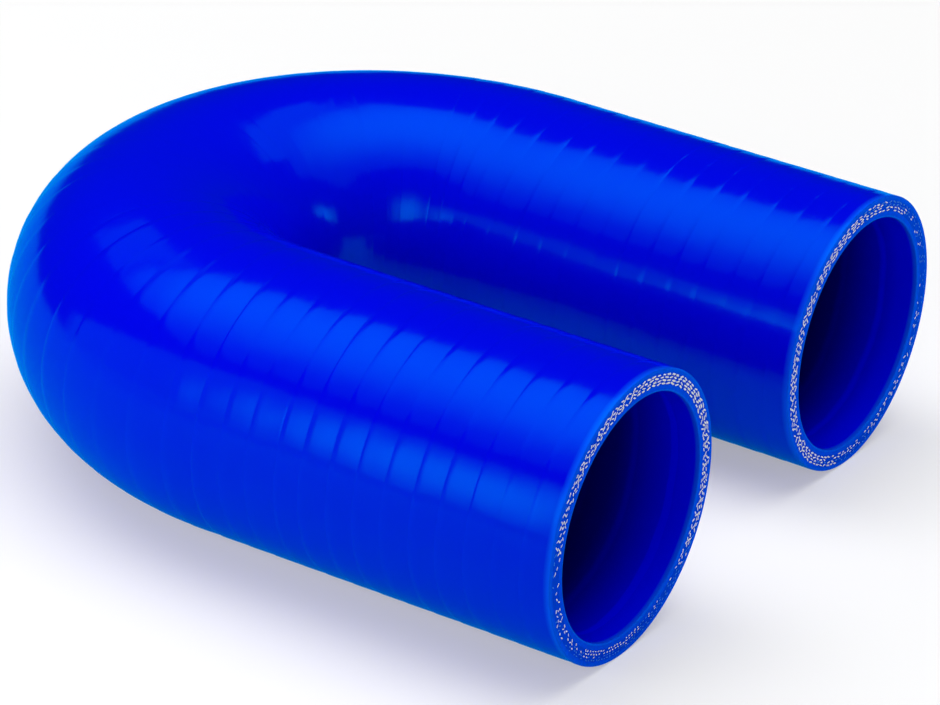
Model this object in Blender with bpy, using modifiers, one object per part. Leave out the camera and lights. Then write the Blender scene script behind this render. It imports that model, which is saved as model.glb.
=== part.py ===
# Silicone hose elbow: one moulded length of reinforced hose, bent through
# half a turn into a U, lying flat. Metres, +Z up. The two straight legs point
# along -Y and their ends are cut square. The outside keeps the shallow helical
# laps of the tape that the hose was wrapped in while it cured.

import math

import bmesh
import bpy
from mathutils import Vector

# Driving dimensions, each one a size of the real hose
BORE_DIAMETER = 0.0570
WALL = 0.00505
BEND_RADIUS = 0.0580
LEFT_LEG = 0.0990
RIGHT_LEG = 0.0915

# Relief that the curing tape leaves on the cover
LAP_PITCH = 0.0071
LAP_STEP = 0.00025
LAP_DROP = 0.0006
LAP_START = 0.0059

# Fineness of the faceted surfaces
SIDES = 40
BORE_RINGS_IN_BEND = 28
SHARP_ANGLE = math.radians(40)

# Laps that run past each end of the hose before it is cut square
SPARE_LAPS = 3

# Sizes that follow from the driving dimensions
BORE_RADIUS = BORE_DIAMETER / 2
FOOT_RADIUS = BORE_RADIUS + WALL
CREST_RADIUS = FOOT_RADIUS + LAP_STEP
BEND_LENGTH = math.pi * BEND_RADIUS
HOSE_LENGTH = LEFT_LEG + BEND_LENGTH + RIGHT_LEG

# Points of one place, where turns of the helix meet and where the ends are cut
WELD_DISTANCE = LAP_DROP / 20
RIM_WELD = LAP_DROP / 4

# The hose lies on z = 0 and its outer box is centred on the origin
AXIS_HEIGHT = CREST_RADIUS
LONGER_LEG = max(LEFT_LEG, RIGHT_LEG)
BEND_CENTRE_Y = (LONGER_LEG - BEND_RADIUS - CREST_RADIUS) / 2

COLLECTION_NAME = "silicone_hose_elbow"
NODE_NAME = "hose_elbow"


def clear_scene():
    for obj in list(bpy.data.objects):
        bpy.data.objects.remove(obj, do_unlink=True)


def make_collection(name):
    collection = bpy.data.collections.new(name)
    bpy.context.scene.collection.children.link(collection)
    return collection


def make_silicone():
    """Glossy deep blue silicone rubber."""
    material = bpy.data.materials.new("blue_silicone")
    material.use_nodes = True
    shader = material.node_tree.nodes["Principled BSDF"]
    shader.inputs["Base Color"].default_value = (0.001, 0.002, 0.65, 1.0)
    shader.inputs["Roughness"].default_value = 0.25
    shader.inputs["Metallic"].default_value = 0.0
    return material


def wrapped_cover():
    """Straight cover along +Z as a mesh: one lap of tape, turned into a left-handed helix."""
    laps = math.ceil(HOSE_LENGTH / LAP_PITCH) + 2 * SPARE_LAPS
    lap = bmesh.new()
    foot = lap.verts.new((0, FOOT_RADIUS, 0))
    crest = lap.verts.new((0, CREST_RADIUS, LAP_PITCH - LAP_DROP))
    next_foot = lap.verts.new((0, FOOT_RADIUS, LAP_PITCH))
    lap.edges.new((foot, crest))
    lap.edges.new((crest, next_foot))
    mesh = bpy.data.meshes.new("tape_lap")
    lap.to_mesh(mesh)
    lap.free()
    guide = bpy.data.objects.new("tape_lap", mesh)
    bpy.context.scene.collection.objects.link(guide)

    screw = guide.modifiers.new("helix", "SCREW")
    screw.axis = "Z"
    screw.angle = -2 * math.pi
    screw.screw_offset = LAP_PITCH
    screw.iterations = laps
    screw.steps = SIDES
    screw.render_steps = SIDES
    screw.use_merge_vertices = True
    screw.merge_threshold = WELD_DISTANCE
    screw.use_smooth_shade = True

    graph = bpy.context.evaluated_depsgraph_get()
    cover = bpy.data.meshes.new_from_object(guide.evaluated_get(graph))
    bpy.data.objects.remove(guide, do_unlink=True)
    bpy.data.meshes.remove(mesh)
    return cover


def cut_square(bm, length):
    """Trim the cover flat at both ends of the hose and return the two open rims."""
    for height, outward in ((0.0, -1), (length, 1)):
        bmesh.ops.bisect_plane(
            bm,
            geom=bm.verts[:] + bm.edges[:] + bm.faces[:],
            plane_co=(0, 0, height),
            plane_no=(0, 0, outward),
            clear_outer=True,
        )
        near_cut = [vert for vert in bm.verts if abs(vert.co.z - height) < RIM_WELD]
        bmesh.ops.remove_doubles(bm, verts=near_cut, dist=RIM_WELD)
        for vert in bm.verts:
            if abs(vert.co.z - height) < RIM_WELD:
                vert.co.z = height
    return [edge for edge in bm.edges if edge.is_boundary]


def bore_heights():
    """Places along the hose where the bore has a ring: both ends and all round the bend."""
    steps = range(BORE_RINGS_IN_BEND + 1)
    in_bend = [LEFT_LEG + BEND_LENGTH * step / BORE_RINGS_IN_BEND for step in steps]
    return [0.0] + in_bend + [HOSE_LENGTH]


def add_bore(bm):
    """Open tube of the bore, extruded ring by ring, and the edges of its two ends."""
    ring = bmesh.ops.create_circle(bm, segments=SIDES, radius=BORE_RADIUS)["verts"]
    edges = list({edge for vert in ring for edge in vert.link_edges})
    first_rim = edges
    wall = []
    heights = bore_heights()
    for below, above in zip(heights, heights[1:]):
        grown = bmesh.ops.extrude_edge_only(bm, edges=edges)["geom"]
        verts = [item for item in grown if isinstance(item, bmesh.types.BMVert)]
        wall += [item for item in grown if isinstance(item, bmesh.types.BMFace)]
        edges = [item for item in grown if isinstance(item, bmesh.types.BMEdge)]
        edges = [edge for edge in edges if edge.is_boundary]
        bmesh.ops.translate(bm, verts=verts, vec=(0, 0, above - below))
    bmesh.ops.reverse_faces(bm, faces=wall)
    return first_rim + edges


def close_ends(bm, rims):
    """Join the cover to the bore with a flat ring at each end."""
    for height in (0.0, HOSE_LENGTH):
        loops = [edge for edge in rims if abs(edge.verts[0].co.z - height) < WELD_DISTANCE]
        bmesh.ops.triangle_fill(bm, edges=loops, use_beauty=True, normal=(0, 0, 1))


def place_on_path(point):
    """Carry a point of the straight hose to the U: x is outward, y is up, z is along it."""
    outward, up, along = point
    in_bend = min(max(along - LEFT_LEG, 0.0), BEND_LENGTH)
    turn = in_bend / BEND_RADIUS
    past_bend = max(along - LEFT_LEG - BEND_LENGTH, 0.0)
    before_bend = max(LEFT_LEG - along, 0.0)
    reach = BEND_RADIUS + outward
    return Vector((
        -reach * math.cos(turn),
        BEND_CENTRE_Y + reach * math.sin(turn) - before_bend - past_bend,
        AXIS_HEIGHT + up,
    ))


def make_hose(collection):
    cover = wrapped_cover()
    bm = bmesh.new()
    bm.from_mesh(cover)
    bpy.data.meshes.remove(cover)
    bmesh.ops.remove_doubles(bm, verts=bm.verts, dist=WELD_DISTANCE)

    first_lap = LAP_START - SPARE_LAPS * LAP_PITCH
    bmesh.ops.translate(bm, verts=bm.verts, vec=(0, 0, first_lap))
    rims = cut_square(bm, HOSE_LENGTH)
    rims += add_bore(bm)
    close_ends(bm, rims)
    for vert in bm.verts:
        vert.co = place_on_path(vert.co)
    bmesh.ops.recalc_face_normals(bm, faces=bm.faces)
    if bm.calc_volume(signed=True) < 0:
        bmesh.ops.reverse_faces(bm, faces=bm.faces)

    mesh = bpy.data.meshes.new(NODE_NAME)
    bm.to_mesh(mesh)
    bm.free()
    mesh.shade_smooth()
    mesh.set_sharp_from_angle(angle=SHARP_ANGLE)
    mesh.materials.append(make_silicone())
    hose = bpy.data.objects.new(NODE_NAME, mesh)
    collection.objects.link(hose)
    return hose


def main():
    clear_scene()
    make_hose(make_collection(COLLECTION_NAME))


main()
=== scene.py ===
import math
import random
from collections import namedtuple

import bmesh
import bpy
from mathutils import Matrix, Vector


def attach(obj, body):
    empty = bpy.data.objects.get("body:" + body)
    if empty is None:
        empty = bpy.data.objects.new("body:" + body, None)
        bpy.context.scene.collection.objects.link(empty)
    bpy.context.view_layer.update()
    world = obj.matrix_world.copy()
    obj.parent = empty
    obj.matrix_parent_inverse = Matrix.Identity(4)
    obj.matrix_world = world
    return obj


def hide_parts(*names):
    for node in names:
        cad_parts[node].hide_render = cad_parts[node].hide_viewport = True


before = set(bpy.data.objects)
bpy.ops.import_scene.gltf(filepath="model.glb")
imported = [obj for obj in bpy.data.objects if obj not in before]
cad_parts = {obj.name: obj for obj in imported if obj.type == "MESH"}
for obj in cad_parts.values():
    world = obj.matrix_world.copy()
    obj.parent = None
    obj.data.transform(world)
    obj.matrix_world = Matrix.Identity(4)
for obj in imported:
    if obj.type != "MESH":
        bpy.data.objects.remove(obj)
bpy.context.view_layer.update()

# Sizes of the hose in metres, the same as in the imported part
BORE_RADIUS = 0.0285
WALL = 0.00505
LAP_STEP = 0.00025
FOOT_RADIUS = BORE_RADIUS + WALL
CREST_RADIUS = FOOT_RADIUS + LAP_STEP
BEND_RADIUS = 0.0580
LEFT_LEG = 0.0990
RIGHT_LEG = 0.0915
BEND_LENGTH = math.pi * BEND_RADIUS
HOSE_LENGTH = LEFT_LEG + BEND_LENGTH + RIGHT_LEG
AXIS_HEIGHT = CREST_RADIUS
BEND_CENTRE_Y = (LEFT_LEG - BEND_RADIUS - CREST_RADIUS) / 2

# Laps of the curing tape, from edge to edge, and the laps wound past each end before it is cut
LAP_PITCH = 0.0071
LAP_START = 0.0059
SPARE_LAPS = 2

# Points across a lap as shares of its width, with its crest and the end of the drop after it
LAP_ROWS = (0.0, 0.03, 0.10, 0.26, 0.50, 0.76, 0.925, 0.962)
LAP_CREST = 0.925
LAP_DROP_END = 0.99
LAP_ROUNDNESS = 1.7

# Height of the laps on each stretch of the hose, as a share of the full step
NEAR_RELIEF = 0.56
BEND_RELIEF = 0.07
FAR_RELIEF = 0.36
OUTER_RELIEF = 0.75

# How that height wanders: its even part, its uneven part and the wave that gives all of it
EVEN_RISE = 0.62
UNEVEN_RISE = 0.38
FULL_RISE_WAVE = 0.28

# Where the laps fade after the start of the bend, and how long they take to return before its end
FADE_START = 0.005
FADE_END = 0.045
RETURN_LENGTH = 0.050

# Waves of the tape's edge, in metres, and of its height: size, waves in a turn, start
EDGE_WAVES = ((0.00026, 0.137, 0.4), (0.00022, 0.391, 2.1), (0.00017, 0.877, 4.0), (0.00005, 2.31, 1.0))
RISE_WAVES = ((0.16, 0.211, 1.3), (0.14, 0.463, 3.3), (0.10, 1.13, 0.2))

# Rounded lips at the cut, and the cut face that lies a little inside the plane of the cut
LIP = 0.00032
LIP_STEPS = 3
FACE_RECESS = 0.00006

# Fineness of the cover and the bore
COVER_SIDES = 160
BORE_SIDES = 112
RINGS_IN_LEG = 16
RINGS_IN_BEND = 48

# Points within the reach of a cut lie on it, and those within the weld of each other are joined
RIM_REACH = 0.00003
RIM_WELD = 0.00005
SAME_PLACE = 1e-6

# Materials of the hose and of the yarns by their place on the mesh
COVER = 0
CUT = 1
BORE = 2
WHITE = 0
STAINED = 1

# Layer that keeps each point's place on the straight hose, and how finely the streaks that run
# round the cover repeat across it and along it
STRAIGHT_PLACE = "straight_place"
STREAK_SCALE = (70.0, 70.0, 1100.0)

# Rings of the four plies, from the outside in
PLY_RADII = (0.03228, 0.03161, 0.03094, 0.03024)

# Form of a cut yarn, and what takes the lengths and widths of the tables below to metres
YARN_HEIGHT = 0.000055
STRAND_STEPS = 5
STRAND_SIDES = 6
STRAND_BLUNTNESS = 0.12
STRAND_FULLNESS = 0.6
MILLIMETRE = 0.001
WIDTH_SCALE = 1.10 * MILLIMETRE

# How much the yarns differ: in their place along the ply, where tilted yarns stray more, in slope,
# length, width, place across the ply and sway, and how much the stain depends on the ply
STRAY = 0.05
STRAY_PER_DEGREE = 0.0048
SLOPE_RANGE = (0.35, 1.2)
LENGTH_RANGE = (0.75, 1.1)
WIDTH_RANGE = (0.78, 1.22)
RADIUS_SPREAD = 0.00004
SWAY = 0.12 * MILLIMETRE
STAIN_BY_PLY = 1.5

# Angle from the top towards the left of the picture, distance from one yarn to the next, tilt of
# the yarns to the ply, their length and width, the share of them that shows and is white;
# angles in degrees and lengths in millimetres
LEFT_END_LOOK = (
    (-180, 1.20, 12, 0.62, 0.28, 0.88, 0.45),
    (-158, 1.20, 12, 0.58, 0.26, 0.80, 0.28),
    (-138, 1.40, 25, 0.72, 0.28, 0.60, 0.25),
    (-124, 1.45, 40, 1.05, 0.34, 0.90, 0.85),
    (-100, 1.45, 45, 1.10, 0.36, 0.92, 1.00),
    (-72, 1.65, 42, 1.30, 0.38, 1.00, 1.00),
    (-56, 2.20, 12, 1.65, 0.40, 1.00, 1.00),
    (-6, 2.20, 9, 1.65, 0.40, 1.00, 1.00),
    (12, 1.50, 32, 1.15, 0.38, 0.95, 1.00),
    (55, 1.45, 38, 1.10, 0.34, 0.88, 1.00),
    (75, 1.50, 42, 1.00, 0.32, 0.72, 0.90),
    (105, 1.60, 42, 0.90, 0.30, 0.55, 0.80),
    (130, 1.45, 35, 0.80, 0.30, 0.72, 0.70),
    (160, 1.20, 15, 0.62, 0.28, 0.90, 0.55),
    (180, 1.20, 12, 0.62, 0.28, 0.88, 0.45),
)
RIGHT_END_LOOK = (
    (-180, 1.40, 15, 0.80, 0.30, 0.75, 0.50),
    (-150, 1.60, 30, 0.95, 0.30, 0.65, 0.60),
    (-120, 1.65, 42, 1.10, 0.32, 0.60, 0.65),
    (-95, 1.40, 30, 0.70, 0.28, 0.55, 0.15),
    (-50, 1.50, 20, 0.85, 0.28, 0.60, 0.25),
    (-25, 2.10, 12, 1.40, 0.32, 0.85, 0.55),
    (0, 2.10, 10, 1.45, 0.34, 1.00, 0.92),
    (35, 2.00, 15, 1.50, 0.36, 1.00, 1.00),
    (60, 1.55, 40, 1.20, 0.36, 0.92, 1.00),
    (125, 1.55, 40, 1.20, 0.36, 0.95, 1.00),
    (145, 2.10, 12, 1.50, 0.36, 1.00, 1.00),
    (168, 1.90, 10, 1.30, 0.34, 0.90, 0.70),
    (180, 1.40, 15, 0.80, 0.30, 0.75, 0.50),
)
LEFT_SEED = 11
RIGHT_SEED = 23

# Colours of the rubber, its shine and the highlight painted along its cut edges, of the yarns and of
# the floor
DEEP_BLUE = (0.0004, 0.0006, 0.77)
SHINE_BLUE = (0.0, 0.40, 1.0)
# Paler blue painted along the cut edges of the cover and the bore as a highlight
EDGE_HIGHLIGHT_BLUE = (0.001, 0.080, 0.95)
WHITE_YARN = (0.98, 0.98, 0.97)
STAINED_YARN = (0.02, 0.22, 0.92)
FLOOR_GREY = (0.62, 0.62, 0.62)

# Colours of the cover and the bore by distance from the cut, in metres: a painted highlight along the
# cut, and in the bore painted light near the mouth and painted shade further in
COVER_RANGE = (0.0, 0.004)
COVER_HIGHLIGHT_STOPS = (
    (0.0, EDGE_HIGHLIGHT_BLUE),
    (0.0004, EDGE_HIGHLIGHT_BLUE),
    (0.0018, DEEP_BLUE),
)
# The bore's colours are painted light and shade: bright just inside the mouth, darker deeper in
BORE_RANGE = (0.0, 0.06)
BORE_LIGHT_AND_SHADE_STOPS = (
    (0.0, EDGE_HIGHLIGHT_BLUE),
    (0.0006, EDGE_HIGHLIGHT_BLUE),
    (0.0014, (0.0002, 0.0006, 1.0)),
    (0.005, (0.0002, 0.0005, 1.0)),
    (0.012, (0.0002, 0.0004, 0.70)),
    (0.021, (0.0002, 0.0004, 0.26)),
    (0.034, (0.0002, 0.0004, 0.10)),
    (0.060, (0.0002, 0.0004, 0.06)),
)

# Colours of the cut face by distance from the axis: liner, plies and cover
CUT_RANGE = (0.0280, 0.0340)
CUT_STOPS = (
    (0.02870, (0.001, 0.11, 1.0)),
    (0.02900, (0.001, 0.035, 0.97)),
    (0.02985, (0.001, 0.035, 0.97)),
    (0.03000, (0.001, 0.012, 0.78)),
    (0.03245, (0.001, 0.012, 0.78)),
    (0.03265, (0.001, 0.040, 0.97)),
    (0.03370, (0.001, 0.070, 1.00)),
)

# The floor reads as white with this much light of its own; the world is dim
FLOOR_LIFT = 0.37
FLOOR_HALF_SIDE = 4.0
WORLD_STRENGTH = 0.05

# The photo's viewpoint, with its heading from +Y towards +X
CAMERA_PLACE = Vector((-0.86037, -0.53664, 0.49870))
CAMERA_AZIMUTH = math.radians(58.849)
CAMERA_DIP = math.radians(25.082)
CAMERA_ROLL = math.radians(3.895)
CAMERA_LENS = 182.2
SENSOR_WIDTH = 36.0

# Hottest place of a light as shares of both its sizes, the distances in metres over which it
# falls off, and the share of its radiance that is left there
Glow = namedtuple("Glow", ("hot", "reach", "left_over"))


def add_camera():
    """Camera at the photo's viewpoint."""
    azimuth, dip, roll = CAMERA_AZIMUTH, CAMERA_DIP, CAMERA_ROLL
    forward = Vector((
        math.sin(azimuth) * math.cos(dip),
        math.cos(azimuth) * math.cos(dip),
        -math.sin(dip),
    ))
    level = Vector((math.cos(azimuth), -math.sin(azimuth), 0.0))
    upright = level.cross(forward)
    right = math.cos(roll) * level + math.sin(roll) * upright
    up = math.cos(roll) * upright - math.sin(roll) * level
    data = bpy.data.cameras.new("photo_camera")
    data.sensor_fit = "HORIZONTAL"
    data.sensor_width = SENSOR_WIDTH
    data.lens = CAMERA_LENS
    data.clip_start = 0.01
    data.clip_end = 30.0
    camera = bpy.data.objects.new("photo_camera", data)
    turn = Matrix((right, up, -forward)).transposed()
    camera.matrix_world = Matrix.Translation(CAMERA_PLACE) @ turn.to_4x4()
    bpy.context.scene.collection.objects.link(camera)
    bpy.context.scene.camera = camera


def place_on_path(point):
    """Carry a point of the straight hose to the U: x is outward, y is up, z is along it."""
    outward, up, along = point
    turn = min(max(along - LEFT_LEG, 0.0), BEND_LENGTH) / BEND_RADIUS
    past_bend = max(along - LEFT_LEG - BEND_LENGTH, 0.0)
    before_bend = max(LEFT_LEG - along, 0.0)
    reach = BEND_RADIUS + outward
    return Vector((
        -reach * math.cos(turn),
        BEND_CENTRE_Y + reach * math.sin(turn) - before_bend - past_bend,
        AXIS_HEIGHT + up,
    ))


def wander(turns, waves):
    """Slow irregular change along the tape, from a few waves that share no period."""
    return sum(size * math.sin(2 * math.pi * rate * turns + start) for size, rate, start in waves)


def lap_edge(turns):
    """Place along the hose of the tape's edge after so many turns of the helix."""
    return LAP_START + LAP_PITCH * (turns - SPARE_LAPS) + wander(turns, EDGE_WAVES)


def ease(value, low, high):
    """Smooth step from 0 at low to 1 at high."""
    share = max(0.0, min(1.0, (value - low) / (high - low)))
    return share * share * (3 - 2 * share)


def lap_rise(turns, along):
    """Height of the step at the edge of a lap, as a share of the most it can be."""
    bend_end = LEFT_LEG + BEND_LENGTH
    uneven = max(-1.0, min(1.0, wander(turns, RISE_WAVES) / FULL_RISE_WAVE))
    into_bend = ease(along, LEFT_LEG + FADE_START, LEFT_LEG + FADE_END)
    out_of_bend = ease(along, bend_end - RETURN_LENGTH, bend_end)
    level = NEAR_RELIEF + (BEND_RELIEF - NEAR_RELIEF) * into_bend
    level += (FAR_RELIEF - BEND_RELIEF) * out_of_bend
    outer_side = max(0.0, math.sin(2 * math.pi * turns)) ** 3
    level += OUTER_RELIEF * outer_side * into_bend * (1 - out_of_bend)
    return min(1.0, level * (EVEN_RISE + UNEVEN_RISE * uneven))


def lap_profile(across):
    """Rise of the cover from the foot of a lap to its crest, and the drop after it."""
    if across <= LAP_CREST:
        return 1.0 - (1.0 - across / LAP_CREST) ** LAP_ROUNDNESS
    return max(0.0, 1.0 - (across - LAP_CREST) / (LAP_DROP_END - LAP_CREST))


def cover_mesh():
    """Outer face of the straight hose: a strip of tape wound into a left-handed helix."""
    turns_needed = math.ceil(HOSE_LENGTH / LAP_PITCH) + 2 * SPARE_LAPS
    steps = turns_needed * COVER_SIDES
    rows = len(LAP_ROWS)
    verts = []
    for step in range(steps + COVER_SIDES + 1):
        turns = step / COVER_SIDES
        angle = 2 * math.pi * turns
        edge = lap_edge(turns)
        next_edge = lap_edge(turns + 1)
        rise = (CREST_RADIUS - FOOT_RADIUS) * lap_rise(turns, edge)
        for across in LAP_ROWS:
            radius = CREST_RADIUS - rise * (1 - lap_profile(across))
            along = edge + (next_edge - edge) * across
            verts.append((radius * math.sin(angle), radius * math.cos(angle), along))
    faces = []
    for step in range(steps):
        for row in range(rows):
            here = step * rows + row
            beside = here + rows
            if row + 1 < rows:
                faces.append((here, beside, beside + 1, here + 1))
            else:
                above = (step + COVER_SIDES) * rows
                faces.append((here, beside, above + rows, above))
    mesh = bpy.data.meshes.new("cover")
    mesh.from_pydata(verts, [], faces)
    return mesh


def trim(bm):
    """Cut the cover a lip's width inside each end and return the open rim of each end."""
    rims = []
    for height, outward in ((LIP, -1), (HOSE_LENGTH - LIP, 1)):
        bmesh.ops.bisect_plane(
            bm,
            geom=bm.verts[:] + bm.edges[:] + bm.faces[:],
            plane_co=(0, 0, height),
            plane_no=(0, 0, outward),
            clear_outer=True,
        )
        near = [vert for vert in bm.verts if abs(vert.co.z - height) < RIM_REACH]
        bmesh.ops.remove_doubles(bm, verts=near, dist=RIM_WELD)
        for vert in bm.verts:
            if abs(vert.co.z - height) < RIM_REACH:
                vert.co.z = height
        loose_edges = [edge for edge in bm.edges if edge.is_boundary]
        rims.append([edge for edge in loose_edges if abs(edge.verts[0].co.z - height) < SAME_PLACE])
    return rims


def grow_rim(bm, rim, change_radius, along, material):
    """Extrude an open rim to a new place along the hose and a new distance from its axis."""
    grown = bmesh.ops.extrude_edge_only(bm, edges=rim)["geom"]
    for item in grown:
        if isinstance(item, bmesh.types.BMVert):
            radius = math.hypot(item.co.x, item.co.y)
            scale = change_radius(radius) / radius
            item.co = Vector((item.co.x * scale, item.co.y * scale, along))
        elif isinstance(item, bmesh.types.BMFace):
            item.material_index = material
    edges = [item for item in grown if isinstance(item, bmesh.types.BMEdge)]
    return [edge for edge in edges if edge.is_boundary]


def round_lip(bm, rim, end, outward, material, sense):
    """Round an edge of the hose over to the plane of the cut; sense is -1 outside, +1 at the bore."""
    size = LIP - FACE_RECESS
    plane = end - outward * FACE_RECESS
    quarter = math.pi / 2
    for step in range(1, LIP_STEPS + 1):
        angle = quarter * step / LIP_STEPS
        inset = size * (math.cos(quarter * (step - 1) / LIP_STEPS) - math.cos(angle))
        along = plane - outward * size * (1 - math.sin(angle))
        rim = grow_rim(bm, rim, lambda radius: radius + sense * inset, along, material)
    return rim


def bore_places():
    """Places along the bore that get a ring of points."""
    stretches = (
        (0.0, LEFT_LEG, RINGS_IN_LEG),
        (LEFT_LEG, BEND_LENGTH, RINGS_IN_BEND),
        (LEFT_LEG + BEND_LENGTH, RIGHT_LEG, RINGS_IN_LEG),
    )
    places = [LIP]
    for start, length, rings in stretches:
        places += [start + length * (ring + 1) / rings for ring in range(rings)]
    places[-1] = HOSE_LENGTH - LIP
    return places


def add_bore(bm):
    """Open tube of the bore with its two rims."""
    ring = bmesh.ops.create_circle(bm, segments=BORE_SIDES, radius=BORE_RADIUS)["verts"]
    places = bore_places()
    for vert in ring:
        vert.co.z = places[0]
    edges = list({edge for vert in ring for edge in vert.link_edges})
    first = edges
    for place in places[1:]:
        edges = grow_rim(bm, edges, lambda radius: radius, place, BORE)
    return [first, edges]


def close_end(bm, cover_rim, bore_rim, end, outward):
    """Round both edges of a cut and fill the flat ring between them."""
    outer = round_lip(bm, cover_rim, end, outward, COVER, -1)
    inner = round_lip(bm, bore_rim, end, outward, BORE, 1)
    filled = bmesh.ops.triangle_fill(bm, edges=outer + inner, use_beauty=True, normal=(0, 0, 1))
    for item in filled["geom"]:
        if isinstance(item, bmesh.types.BMFace):
            item.material_index = CUT


def bend_to_path(bm):
    """Bend the straight hose into the U; a layer keeps each point's place on the straight hose."""
    straight = bm.verts.layers.float_vector.new(STRAIGHT_PLACE)
    for vert in bm.verts:
        vert[straight] = vert.co
        vert.co = place_on_path(vert.co)


def make_object(name, bm, materials):
    """Turn a finished bmesh into an object of the scene."""
    mesh = bpy.data.meshes.new(name)
    bm.to_mesh(mesh)
    bm.free()
    for material in materials:
        mesh.materials.append(material)
    made = bpy.data.objects.new(name, mesh)
    bpy.context.scene.collection.objects.link(made)
    return made


def make_hose(materials):
    """The whole hose as one mesh: cover, rounded lips, cut faces and bore."""
    mesh = cover_mesh()
    bm = bmesh.new()
    bm.from_mesh(mesh)
    bpy.data.meshes.remove(mesh)
    loose = [vert for vert in bm.verts if not vert.link_faces]
    bmesh.ops.delete(bm, geom=loose, context="VERTS")
    cover_rims = trim(bm)
    bore_rims = add_bore(bm)
    ends = ((0.0, -1), (HOSE_LENGTH, 1))
    for (end, outward), cover_rim, bore_rim in zip(ends, cover_rims, bore_rims):
        close_end(bm, cover_rim, bore_rim, end, outward)
    for face in bm.faces:
        face.smooth = face.material_index != CUT
    bend_to_path(bm)
    bmesh.ops.recalc_face_normals(bm, faces=bm.faces)
    if bm.calc_volume(signed=True) < 0:
        bmesh.ops.reverse_faces(bm, faces=bm.faces)
    return make_object("hose_body", bm, materials)


def look_at(table, degrees):
    """Values of a table at an angle, evenly between its rows."""
    for low, high in zip(table, table[1:]):
        if low[0] <= degrees <= high[0]:
            share = (degrees - low[0]) / (high[0] - low[0])
            return [a + (b - a) * share for a, b in zip(low[1:], high[1:])]
    return list(table[0][1:])


def add_strand(bm, middle, tangent, outwards, length, width, sway, material):
    """Cut yarn end as a small tapered lens that bends a little, lying in the plane of the cut."""
    rings = []
    for step in range(STRAND_STEPS):
        share = step / (STRAND_STEPS - 1)
        taper = STRAND_BLUNTNESS + (1 - 2 * STRAND_BLUNTNESS) * share
        bulge = math.sin(math.pi * taper) ** STRAND_FULLNESS
        centre = middle + tangent * ((share - 0.5) * length)
        centre += outwards * (sway * math.sin(2 * math.pi * share))
        ring = []
        for side in range(STRAND_SIDES):
            turn = 2 * math.pi * side / STRAND_SIDES
            lift = Vector((0.0, 0.0, YARN_HEIGHT * bulge * math.sin(turn)))
            ring.append(bm.verts.new(centre + outwards * (0.5 * width * bulge * math.cos(turn)) + lift))
        rings.append(ring)
    faces = [rings[0], list(reversed(rings[-1]))]
    for below, above in zip(rings, rings[1:]):
        for side in range(STRAND_SIDES):
            after = (side + 1) % STRAND_SIDES
            faces.append([below[side], above[side], above[after], below[after]])
    for corners in faces:
        face = bm.faces.new(corners)
        face.smooth = True
        face.material_index = material


def add_ply(bm, chance, table, ply, along, leftwards):
    """One ring of yarn ends; leftwards is 1 where the left of the picture is outward, else -1."""
    ply_radius = PLY_RADII[ply]
    inward = ply / (len(PLY_RADII) - 1) - 0.5
    centre_degrees = -180.0 + chance.uniform(0.0, 2.0)
    index = 0
    while centre_degrees < 180.0:
        pitch, tilt, length, width, shown, white = look_at(table, centre_degrees)
        spacing = math.degrees(pitch * MILLIMETRE / ply_radius)
        stray = STRAY + STRAY_PER_DEGREE * tilt
        degrees = centre_degrees + chance.uniform(-stray, stray) * spacing
        centre_degrees += spacing
        index += 1
        if chance.random() > shown:
            continue
        mixed = 1 - abs(2 * white - 1)
        stained = chance.random() > white + STAIN_BY_PLY * mixed * inward
        lean = 1 if (index + ply) % 2 else -1
        slope = math.radians(tilt) * lean * chance.uniform(*SLOPE_RANGE)
        angle = math.radians(degrees) * leftwards
        radius = ply_radius + chance.gauss(0, RADIUS_SPREAD)
        out = Vector((math.sin(angle), math.cos(angle), 0.0))
        around = Vector((math.cos(angle), -math.sin(angle), 0.0))
        tangent = around * math.cos(slope) + out * math.sin(slope)
        across = out * math.cos(slope) - around * math.sin(slope)
        size = length * MILLIMETRE * chance.uniform(*LENGTH_RANGE)
        thick = width * WIDTH_SCALE * chance.uniform(*WIDTH_RANGE)
        sway = chance.uniform(-SWAY, SWAY)
        middle = out * radius + Vector((0.0, 0.0, along))
        add_strand(bm, middle, tangent, across, size, thick, sway, STAINED if stained else WHITE)


def make_yarn_ends(name, table, end, leftwards, seed, materials):
    """Ends of the ply yarns on one cut face, in four rings."""
    chance = random.Random(seed)
    bm = bmesh.new()
    along = end + (FACE_RECESS if end == 0.0 else -FACE_RECESS)
    for ply in range(len(PLY_RADII)):
        add_ply(bm, chance, table, ply, along, leftwards)
    for vert in bm.verts:
        vert.co = place_on_path(vert.co)
    bmesh.ops.recalc_face_normals(bm, faces=bm.faces)
    ends = make_object(name, bm, materials)
    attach(ends, "root")


def node(tree, kind, x, y, **values):
    """Add a shader node and set its options and its input values by name."""
    made = tree.nodes.new(kind)
    made.location = (x, y)
    for name, value in values.items():
        if name in made.inputs:
            made.inputs[name].default_value = value
        else:
            setattr(made, name, value)
    return made


def link(tree, source, output, target, socket):
    tree.links.new(source.outputs[output], target.inputs[socket])


def distance_from_cut(tree):
    """Distance in metres along a leg from the plane of its cut end."""
    place = node(tree, "ShaderNodeTexCoord", -1500, 300)
    split = node(tree, "ShaderNodeSeparateXYZ", -1300, 300)
    is_left = node(tree, "ShaderNodeMath", -1100, 400, operation="LESS_THAN")
    is_left.inputs[1].default_value = 0.0
    shift = node(tree, "ShaderNodeMath", -900, 400, operation="MULTIPLY_ADD")
    shift.inputs[1].default_value = LEFT_LEG - RIGHT_LEG
    shift.inputs[2].default_value = RIGHT_LEG - BEND_CENTRE_Y
    distance = node(tree, "ShaderNodeMath", -700, 300, operation="ADD")
    link(tree, place, "Object", split, "Vector")
    link(tree, split, "X", is_left, 0)
    link(tree, is_left, "Value", shift, 0)
    link(tree, split, "Y", distance, 0)
    link(tree, shift, "Value", distance, 1)
    return distance


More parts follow.
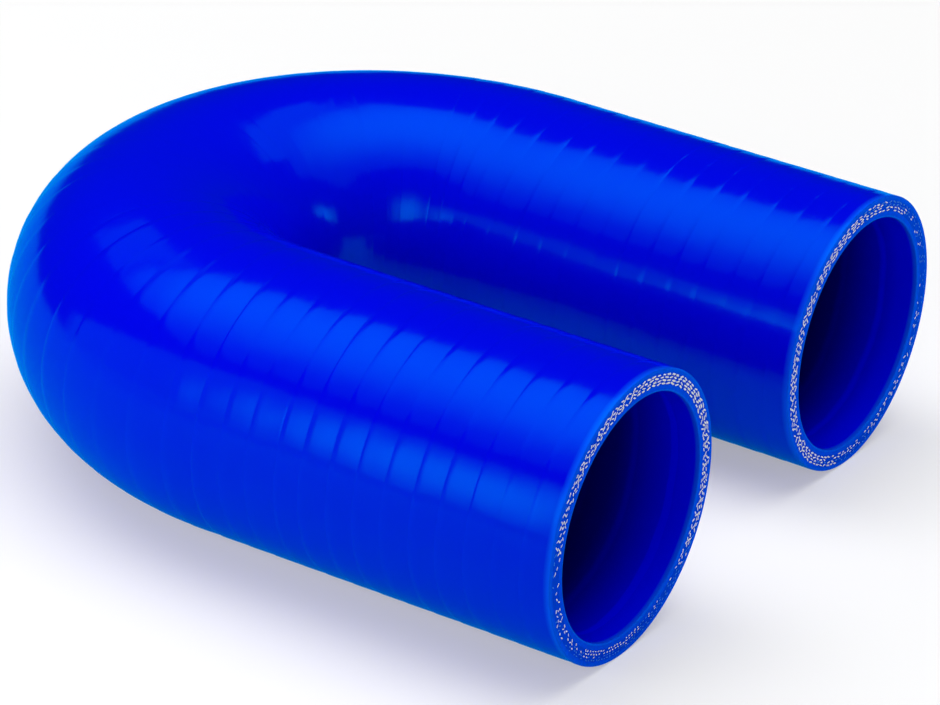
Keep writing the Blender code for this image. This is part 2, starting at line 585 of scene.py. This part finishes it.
def distance_from_axis(tree):
    """Distance in metres from the axis of the leg on the same side."""
    place = node(tree, "ShaderNodeTexCoord", -1500, -100)
    split = node(tree, "ShaderNodeSeparateXYZ", -1300, -100)
    side = node(tree, "ShaderNodeMath", -1100, -50, operation="ABSOLUTE")
    sideways = node(tree, "ShaderNodeMath", -950, -50, operation="SUBTRACT")
    sideways.inputs[1].default_value = BEND_RADIUS
    upwards = node(tree, "ShaderNodeMath", -950, -200, operation="SUBTRACT")
    upwards.inputs[1].default_value = AXIS_HEIGHT
    join = node(tree, "ShaderNodeCombineXYZ", -800, -100)
    length = node(tree, "ShaderNodeVectorMath", -650, -100, operation="LENGTH")
    link(tree, place, "Object", split, "Vector")
    link(tree, split, "X", side, 0)
    link(tree, side, "Value", sideways, 0)
    link(tree, split, "Z", upwards, 0)
    link(tree, sideways, "Value", join, "X")
    link(tree, upwards, "Value", join, "Z")
    link(tree, join, "Vector", length, 0)
    return length


def rescale(tree, x, y, source, output, old_range, new_range):
    """Map a value evenly from one range to another."""
    made = node(tree, "ShaderNodeMapRange", x, y)
    made.inputs["From Min"].default_value = old_range[0]
    made.inputs["From Max"].default_value = old_range[1]
    made.inputs["To Min"].default_value = new_range[0]
    made.inputs["To Max"].default_value = new_range[1]
    link(tree, source, output, made, "Value")
    return made


def ramp(tree, y, stops, lengths, source):
    """Colour ramp over a range of lengths in metres."""
    low, high = lengths
    spread = rescale(tree, -500, y, source, "Value", lengths, (0.0, 1.0))
    colours = node(tree, "ShaderNodeValToRGB", -300, y)
    band = colours.color_ramp
    while len(band.elements) < len(stops):
        band.elements.new(0.5)
    for element, (place, colour) in zip(band.elements, stops):
        element.position = (place - low) / (high - low)
        element.color = (*colour, 1.0)
    link(tree, spread, "Result", colours, "Fac")
    return colours


def tint(tree, x, y, colours, shade):
    """Colours made lighter or darker by a factor."""
    made = node(tree, "ShaderNodeVectorMath", x, y, operation="SCALE")
    link(tree, colours, "Color", made, 0)
    link(tree, shade, "Result", made, "Scale")
    return made


def add_bump(tree, x, y, texture, strength, distance):
    """Bump of a depth in metres that follows a texture."""
    made = node(tree, "ShaderNodeBump", x, y, Strength=strength, Distance=distance)
    link(tree, texture, "Fac", made, "Height")
    return made


def shiny_blue(name, roughness):
    """Rubber whose shine takes on its own blue, as the photo shows: body, shine and their mix."""
    material = bpy.data.materials.new(name)
    material.use_nodes = True
    tree = material.node_tree
    tree.nodes.clear()
    out = node(tree, "ShaderNodeOutputMaterial", 900, 0)
    mix = node(tree, "ShaderNodeMixShader", 700, 0)
    body = node(tree, "ShaderNodeBsdfPrincipled", 350, 150, Roughness=roughness)
    body.inputs["Base Color"].default_value = (*DEEP_BLUE, 1.0)
    body.inputs["Specular IOR Level"].default_value = 0.0
    shine = node(tree, "ShaderNodeBsdfGlossy", 350, -250, Color=(*SHINE_BLUE, 1.0), Roughness=roughness)
    fresnel = node(tree, "ShaderNodeFresnel", 350, 350, IOR=1.5)
    link(tree, fresnel, "Fac", mix, "Fac")
    link(tree, body, "BSDF", mix, 1)
    link(tree, shine, "BSDF", mix, 2)
    link(tree, mix, "Shader", out, "Surface")
    return material, tree, body, shine


def cover_material():
    """Smooth glossy cover: faint waviness and streaks, uneven gloss and a highlight painted along the
    cuts.
    """
    material, tree, body, shine = shiny_blue("blue_cover", 0.13)
    # The paler band along the cut is a painted highlight
    edge = ramp(tree, 300, COVER_HIGHLIGHT_STOPS, COVER_RANGE, distance_from_cut(tree))
    link(tree, edge, "Color", body, "Base Color")
    place = node(tree, "ShaderNodeTexCoord", -900, -500)
    wave = node(tree, "ShaderNodeTexNoise", -700, -400, Scale=55.0, Detail=2.0)
    grain = node(tree, "ShaderNodeTexNoise", -700, -650, Scale=420.0, Detail=3.0)
    link(tree, place, "Object", wave, "Vector")
    link(tree, place, "Object", grain, "Vector")
    dull = rescale(tree, -300, -650, grain, "Fac", (0.0, 1.0), (0.10, 0.18))
    straight = node(tree, "ShaderNodeAttribute", -1100, -850, attribute_name=STRAIGHT_PLACE)
    stretch = node(tree, "ShaderNodeVectorMath", -900, -850, operation="MULTIPLY")
    stretch.inputs[1].default_value = STREAK_SCALE
    streak = node(tree, "ShaderNodeTexNoise", -700, -850, Scale=1.0, Detail=2.0)
    link(tree, straight, "Vector", stretch, 0)
    link(tree, stretch, "Vector", streak, "Vector")
    streaks = add_bump(tree, -300, -850, streak, 1.0, 0.000012)
    waves = add_bump(tree, -100, -400, wave, 1.0, 0.00030)
    link(tree, streaks, "Normal", waves, "Normal")
    for shader in (body, shine):
        link(tree, dull, "Result", shader, "Roughness")
        link(tree, waves, "Normal", shader, "Normal")
    return material


def cut_material():
    """Sawn end of the wall: smooth liner, darker rubber between the plies, thin cover."""
    material, tree, body, shine = shiny_blue("cut_wall", 0.42)
    bands = ramp(tree, 100, CUT_STOPS, CUT_RANGE, distance_from_axis(tree))
    place = node(tree, "ShaderNodeTexCoord", -900, -500)
    mottle = node(tree, "ShaderNodeTexNoise", -700, -400, Scale=900.0, Detail=3.0)
    link(tree, place, "Object", mottle, "Vector")
    shade = rescale(tree, -500, -400, mottle, "Fac", (0.0, 1.0), (0.72, 1.25))
    link(tree, tint(tree, 0, 100, bands, shade), "Vector", body, "Base Color")
    sawn = add_bump(tree, -100, -400, mottle, 0.6, 0.00008)
    for shader in (body, shine):
        link(tree, sawn, "Normal", shader, "Normal")
    return material


def bore_material():
    """Smooth liner of the bore with painted light near the mouth and painted shade that darkens it
    further in, with faint rings left by the mandrel.
    """
    material, tree, body, shine = shiny_blue("blue_liner", 0.22)
    # Painted light and shade by depth: bright near the mouth, dark deep inside
    depth = ramp(tree, 300, BORE_LIGHT_AND_SHADE_STOPS, BORE_RANGE, distance_from_cut(tree))
    place = node(tree, "ShaderNodeTexCoord", -900, -500)
    rings = node(tree, "ShaderNodeTexWave", -600, -450, bands_direction="Y", Scale=30.0, Distortion=0.6)
    rings.inputs["Detail Scale"].default_value = 2.0
    link(tree, place, "Object", rings, "Vector")
    shade = rescale(tree, -300, -100, rings, "Fac", (0.90, 1.0), (1.0, 1.25))
    link(tree, tint(tree, 100, 200, depth, shade), "Vector", body, "Base Color")
    ridges = add_bump(tree, -100, -400, rings, 0.5, 0.00012)
    for shader in (body, shine):
        link(tree, ridges, "Normal", shader, "Normal")
    return material


def yarn_material(name, colour):
    """Matte polyester yarn, cut across, with fine filaments."""
    material = bpy.data.materials.new(name)
    material.use_nodes = True
    tree = material.node_tree
    body = tree.nodes["Principled BSDF"]
    body.inputs["Roughness"].default_value = 0.75
    body.inputs["Specular IOR Level"].default_value = 0.3
    place = node(tree, "ShaderNodeTexCoord", -900, 0)
    fibres = node(tree, "ShaderNodeTexNoise", -700, 0, Scale=2600.0)
    link(tree, place, "Object", fibres, "Vector")
    shade = rescale(tree, -500, 0, fibres, "Fac", (0.0, 1.0), (0.88, 1.10))
    dyed = node(tree, "ShaderNodeVectorMath", -300, 0, operation="SCALE")
    dyed.inputs[0].default_value = colour
    link(tree, shade, "Result", dyed, "Scale")
    link(tree, dyed, "Vector", body, "Base Color")
    filaments = add_bump(tree, -300, -300, fibres, 0.5, 0.00002)
    link(tree, filaments, "Normal", body, "Normal")
    return material


def floor_material():
    """Pale floor that keeps the shadow and reads as white to the camera and in reflections."""
    material = bpy.data.materials.new("pale_floor")
    material.use_nodes = True
    tree = material.node_tree
    tree.nodes.clear()
    out = node(tree, "ShaderNodeOutputMaterial", 900, 0)
    add = node(tree, "ShaderNodeAddShader", 700, 0)
    paint = node(tree, "ShaderNodeBsdfDiffuse", 450, 150, Color=(*FLOOR_GREY, 1.0))
    glow = node(tree, "ShaderNodeEmission", 450, -100)
    path = node(tree, "ShaderNodeLightPath", -100, -100)
    either = node(tree, "ShaderNodeMath", 80, -50, operation="MAXIMUM")
    any_of_three = node(tree, "ShaderNodeMath", 200, -100, operation="MAXIMUM")
    lift = node(tree, "ShaderNodeMath", 320, -100, operation="MULTIPLY")
    lift.inputs[1].default_value = FLOOR_LIFT
    link(tree, path, "Is Camera Ray", either, 0)
    link(tree, path, "Is Glossy Ray", either, 1)
    link(tree, either, "Value", any_of_three, 0)
    link(tree, path, "Is Transmission Ray", any_of_three, 1)
    link(tree, any_of_three, "Value", lift, 0)
    link(tree, lift, "Value", glow, "Strength")
    link(tree, paint, "BSDF", add, 0)
    link(tree, glow, "Emission", add, 1)
    link(tree, add, "Shader", out, "Surface")
    return material


def add_floor():
    bm = bmesh.new()
    bmesh.ops.create_grid(bm, x_segments=1, y_segments=1, size=FLOOR_HALF_SIDE)
    floor = make_object("floor", bm, [floor_material()])


def shape_glow(data, glow):
    """Make a light brightest at one place and dimmer away from it."""
    data.use_nodes = True
    tree = data.node_tree
    emission = tree.nodes["Emission"]
    place = node(tree, "ShaderNodeNewGeometry", -900, 0)
    shift = node(tree, "ShaderNodeVectorMath", -700, 0, operation="SUBTRACT")
    shift.inputs[1].default_value = (*glow.hot, 0.0)
    scale = node(tree, "ShaderNodeVectorMath", -500, 0, operation="MULTIPLY")
    scale.inputs[1].default_value = (data.size / glow.reach[0], data.size_y / glow.reach[1], 0.0)
    away = node(tree, "ShaderNodeVectorMath", -300, 0, operation="LENGTH")
    fall = rescale(tree, -100, 0, away, "Value", (0.0, 1.0), (1.0, glow.left_over))
    fall.interpolation_type = "SMOOTHERSTEP"
    link(tree, place, "Parametric", shift, 0)
    link(tree, shift, "Vector", scale, 0)
    link(tree, scale, "Vector", away, 0)
    link(tree, fall, "Result", emission, "Strength")


def soft_box(name, place, size, radiance, aim=None, glow=None):
    """Rectangular light that looks down along the camera's heading, or is aimed at a point."""
    width, height = size
    data = bpy.data.lights.new(name, "AREA")
    data.shape = "RECTANGLE"
    data.size = width
    data.size_y = height
    data.energy = radiance * width * height * math.pi
    if glow:
        shape_glow(data, glow)
    lamp = bpy.data.objects.new(name, data)
    lamp.location = place
    if aim is None:
        lamp.rotation_euler = (0.0, 0.0, -CAMERA_AZIMUTH)
    else:
        lamp.rotation_euler = (Vector(aim) - Vector(place)).to_track_quat("-Z", "Y").to_euler()
    lamp.visible_camera = False
    bpy.context.scene.collection.objects.link(lamp)


def overhead(sideways, ahead, height):
    """Place above the hose, given as seen by the camera: sideways to the right and ahead of it."""
    across = Vector((math.cos(CAMERA_AZIMUTH), -math.sin(CAMERA_AZIMUTH), 0.0))
    forward = Vector((math.sin(CAMERA_AZIMUTH), math.cos(CAMERA_AZIMUTH), 0.0))
    return across * sideways + forward * ahead + Vector((0.0, 0.0, height))


def add_overhead_lights():
    """A broad soft box that is brightest in the middle, with a weak one behind it on either side."""
    soft_box(
        "overhead",
        place=overhead(0.05, 0.00, 1.50),
        size=(3.7, 1.68),
        radiance=3.5,
        glow=Glow(hot=(0.43, 0.62), reach=(2.20, 1.20), left_over=0.12),
    )
    soft_box("overhead_right", place=overhead(0.80, 1.19, 1.50), size=(1.2, 0.70), radiance=0.8)
    soft_box("overhead_left", place=overhead(-1.30, 1.40, 1.50), size=(1.1, 0.90), radiance=0.5)


def add_side_lights():
    """A low strip beside the longer leg, and two soft boxes in front that light the cut ends."""
    soft_box(
        "left",
        place=(-0.348, 0.50, 0.13),
        size=(1.10, 0.20),
        radiance=4.5,
        aim=(0.0, 0.50, 0.13),
        glow=Glow(hot=(0.896, 0.43), reach=(0.125, 0.13), left_over=0.16),
    )
    soft_box(
        "front",
        place=(0.56, -1.06, 0.24),
        size=(0.60, 0.46),
        radiance=5.0,
        aim=(0.0, 0.0, 0.05),
        glow=Glow(hot=(0.5, 0.5), reach=(0.38, 0.42), left_over=0.0),
    )
    soft_box(
        "front_left",
        place=(-1.24, -0.66, 0.58),
        size=(1.10, 0.90),
        radiance=4.0,
        aim=(0.0, 0.0, 0.03),
        glow=Glow(hot=(0.5, 0.5), reach=(0.64, 0.54), left_over=0.0),
    )


def add_world():
    """Dim white surroundings."""
    world = bpy.data.worlds.new("studio")
    world.use_nodes = True
    background = world.node_tree.nodes["Background"]
    background.inputs["Color"].default_value = (1.0, 1.0, 1.0, 1.0)
    background.inputs["Strength"].default_value = WORLD_STRENGTH
    bpy.context.scene.world = world


def main():
    add_camera()
    hose = make_hose([cover_material(), cut_material(), bore_material()])
    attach(hose, "root")
    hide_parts("hose_elbow")
    yarns = [yarn_material("white_yarn", WHITE_YARN), yarn_material("stained_yarn", STAINED_YARN)]
    make_yarn_ends("left_yarn_ends", LEFT_END_LOOK, 0.0, 1, LEFT_SEED, yarns)
    make_yarn_ends("right_yarn_ends", RIGHT_END_LOOK, HOSE_LENGTH, -1, RIGHT_SEED, yarns)
    add_floor()
    add_overhead_lights()
    add_side_lights()
    add_world()
    bpy.context.scene.view_settings.view_transform = "Standard"


main()
